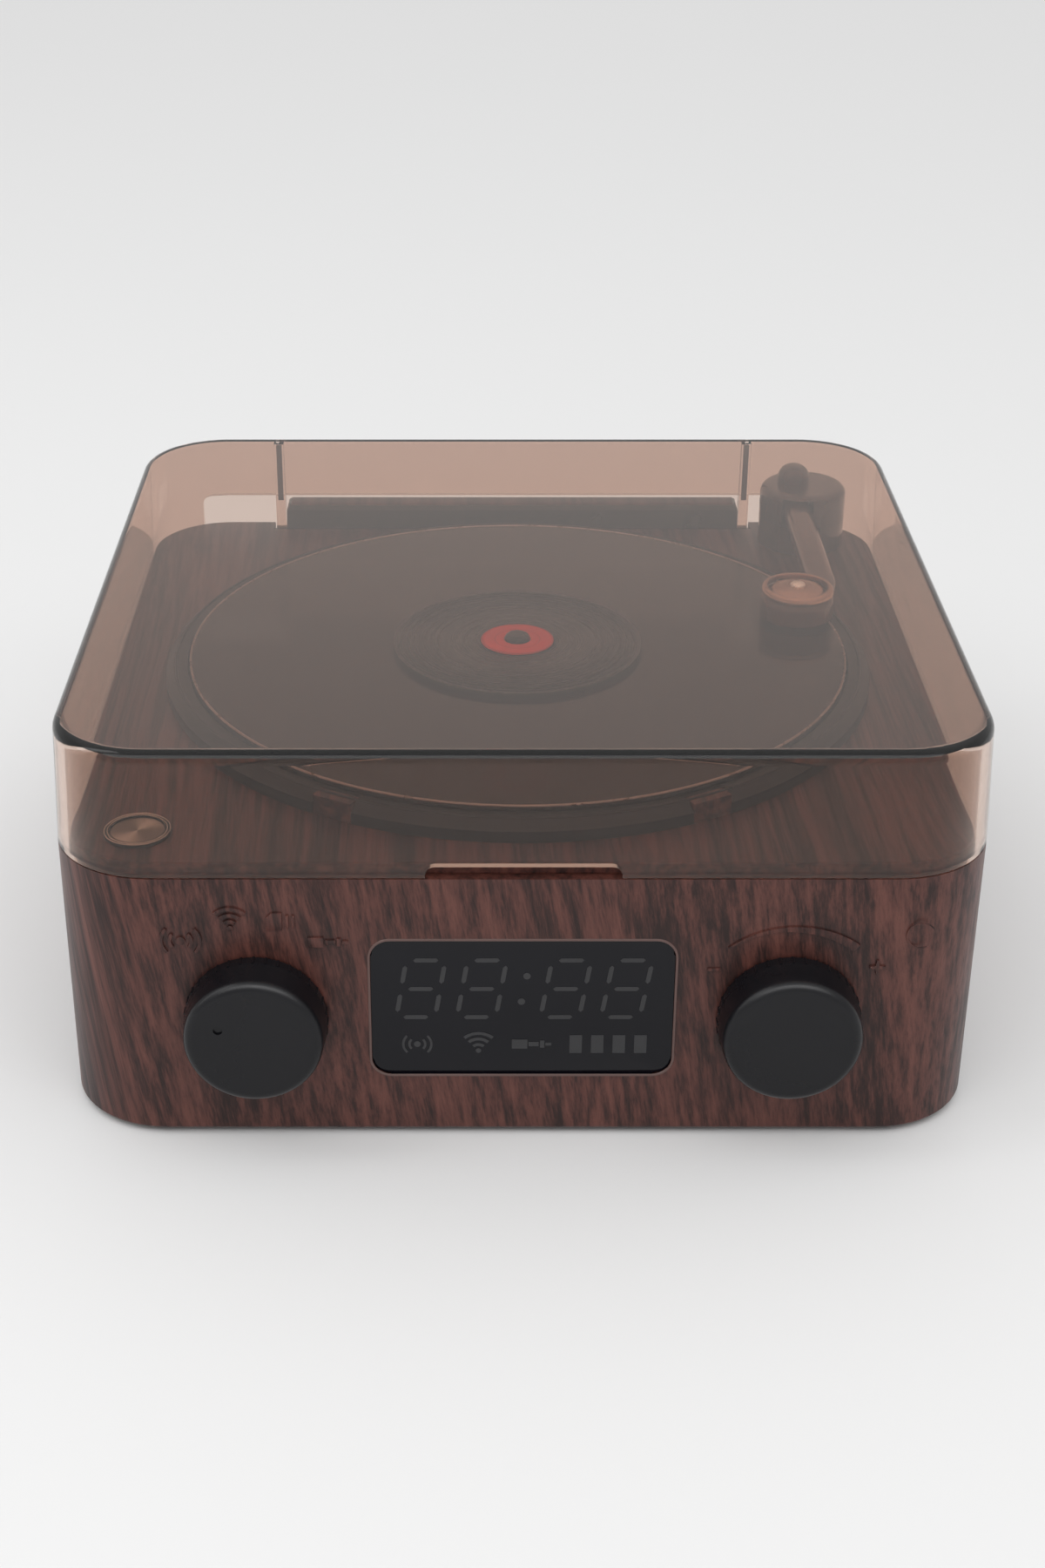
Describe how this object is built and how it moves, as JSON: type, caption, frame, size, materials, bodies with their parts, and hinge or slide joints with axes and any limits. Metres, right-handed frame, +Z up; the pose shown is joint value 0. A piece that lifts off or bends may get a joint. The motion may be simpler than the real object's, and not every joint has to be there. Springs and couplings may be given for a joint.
{
  "type": "turntable record player speaker",
  "caption": "Small record-player speaker: wood-grain cabinet with knobs and digital display, spinning platter, tonearm and tinted hinged lid.",
  "frame": {"origin": "centre of the cabinet's footprint, on the surface that the rubber feet stand on", "axes": "+Z up, +X to the right seen from the front, front with knobs and display towards -Y"},
  "size_m": [0.2, 0.2053, 0.0935],
  "materials": {
    "wood_wrap": "satin walnut-grain wrap",
    "smoked_clear": "smoke-brown clear plastic",
    "black_matte": "fine matte",
    "black_gloss": "gloss",
    "brown_gloss": "dark brown gloss",
    "charcoal": "satin charcoal",
    "vinyl": "grooved",
    "label_paper": "printed paper label",
    "polished_metal": "polished",
    "brushed_metal": "radially brushed",
    "steel": "plain",
    "brass": "turned",
    "rubber": "matte",
    "board_green": "solder mask",
    "paper_cone": "pressed paper",
    "digit_grey": "display module",
    "cell_wrap": "heat-shrunk sleeve"
  },
  "bodies": {
    "cabinet": {"body_shell": "wood_wrap", "base_plate": "black_matte", "rubber_feet": "rubber", "base_screws": "steel", "deck_panel": "wood_wrap", "deck_screws": "steel", "hinge_block": "black_gloss", "hinge_pins": "steel", "spindle_bush": "brass", "platter_ring": "charcoal", "motor_can": "steel", "motor_screws": "steel", "drive_belt": "rubber", "tonearm_base": "brown_gloss", "mode_switch": "steel", "volume_pot": "steel", "control_nuts": "steel", "display_window": "black_gloss", "display_frame": "black_matte", "led_module": "digit_grey", "display_board": "board_green", "display_screws": "steel", "button_ring": "polished_metal", "button_spring": "steel", "button_switch": "black_matte", "button_board": "board_green", "speaker_frame": "black_matte", "speaker_cone": "paper_cone", "speaker_magnet": "steel", "speaker_screws": "steel", "main_board": "board_green", "board_screws": "steel", "charge_socket": "steel", "audio_jack": "black_matte", "card_slot": "steel", "port_plate": "black_matte", "battery_cell": "cell_wrap", "battery_cradle": "black_matte"},
    "lid": {"lid": "smoked_clear"},
    "platter": {"platter": "brown_gloss", "platter_pulley": "black_matte", "spindle": "black_gloss", "spindle_clip": "steel", "record": "vinyl", "record_label": "label_paper"},
    "motor_rotor": {"motor_shaft": "steel", "motor_pulley": "brass"},
    "tonearm_cap": {"tonearm_cap": "brown_gloss", "tonearm_clip": "steel", "tonearm_pin": "steel", "tonearm_button": "black_gloss"},
    "tonearm": {"tonearm_tube": "brown_gloss", "headshell": "brown_gloss", "headshell_dome": "polished_metal"},
    "mode_knob": {"mode_knob": "black_matte", "mode_shaft": "steel"},
    "volume_knob": {"volume_knob": "black_matte", "volume_shaft": "steel"},
    "button": {"button_cap": "brushed_metal", "switch_plunger": "black_matte"}
  },
  "joints": [
    {"name": "lid_hinge", "type": "hinge", "parent": "cabinet", "child": "lid", "pos_m": [0, 0.09525, 0.0663], "axis": [-1, 0, 0], "range_deg": [0, 85]},
    {"name": "platter_spin", "type": "hinge", "parent": "cabinet", "child": "platter", "pos_m": [0, -0.0017, 0.07], "axis": [0, 0, 1], "continuous": true},
    {"name": "motor_spin", "type": "hinge", "parent": "cabinet", "child": "motor_rotor", "pos_m": [0.06, -0.0017, 0.06], "axis": [0, 0, 1], "continuous": true},
    {"name": "tonearm_swing", "type": "hinge", "parent": "cabinet", "child": "tonearm_cap", "pos_m": [0.0788, 0.081, 0.075], "axis": [0, 0, -1], "range_deg": [0, 30]},
    {"name": "tonearm_lift", "type": "hinge", "parent": "tonearm_cap", "child": "tonearm", "pos_m": [0.0763, 0.081, 0.07895], "axis": [-1, 0, 0], "range_deg": [0, 5]},
    {"name": "mode_knob_turn", "type": "hinge", "parent": "cabinet", "child": "mode_knob", "pos_m": [-0.0569, -0.103, 0.0309], "axis": [0, 1, 0], "range_deg": [0, 104]},
    {"name": "volume_knob_turn", "type": "hinge", "parent": "cabinet", "child": "volume_knob", "pos_m": [0.0569, -0.103, 0.0309], "axis": [0, 1, 0], "range_deg": [0, 270]},
    {"name": "button_press", "type": "slide", "parent": "cabinet", "child": "button", "axis": [0, 0, -1], "range_m": [0, 0.001], "stiffness_N_per_m": 400, "springref_m": -0.0005, "deforming": ["button_spring"]}
  ],
  "couplings": [
    {"joint": "motor_spin", "follows": "platter_spin", "ratio": 10}
  ]
}
